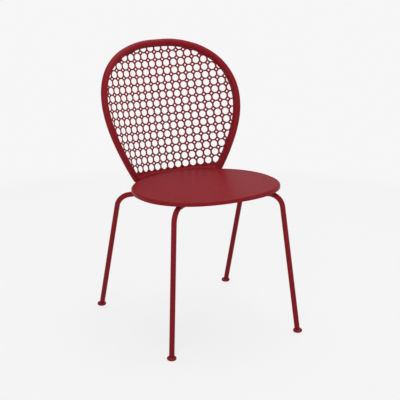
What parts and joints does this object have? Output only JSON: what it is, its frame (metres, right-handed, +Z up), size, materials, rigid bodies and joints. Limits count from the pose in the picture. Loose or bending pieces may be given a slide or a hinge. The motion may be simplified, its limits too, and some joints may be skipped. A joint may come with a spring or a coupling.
{
  "type": "stacking chair",
  "caption": "Stacking chair of bent steel tube with a pressed oval seat, a balloon-shaped back of punched lattice sheet, and round foot glides.",
  "frame": {"origin": "on the floor, under the middle of the chair's overall width and depth", "axes": "+Z up, -Y the way the sitter faces, +X to the right seen from the front"},
  "size_m": [0.4906, 0.5494, 0.8455],
  "materials": {
    "red_powder_coated_steel": "satin powder coat",
    "red_nylon": "moulded, satin"
  },
  "bodies": {
    "root": {"seat_pan": "red_powder_coated_steel", "back_hoop": "red_powder_coated_steel", "back_panel": "red_powder_coated_steel", "front_leg_left": "red_powder_coated_steel", "front_leg_right": "red_powder_coated_steel", "rear_leg_hoop": "red_powder_coated_steel", "seat_bearer_front": "red_powder_coated_steel", "seat_bearer_rear": "red_powder_coated_steel", "foot_glide_front_left": "red_nylon", "foot_glide_front_right": "red_nylon", "foot_glide_rear_left": "red_nylon", "foot_glide_rear_right": "red_nylon", "rail_plug_left": "red_nylon", "rail_plug_right": "red_nylon"}
  },
  "joints": []
}
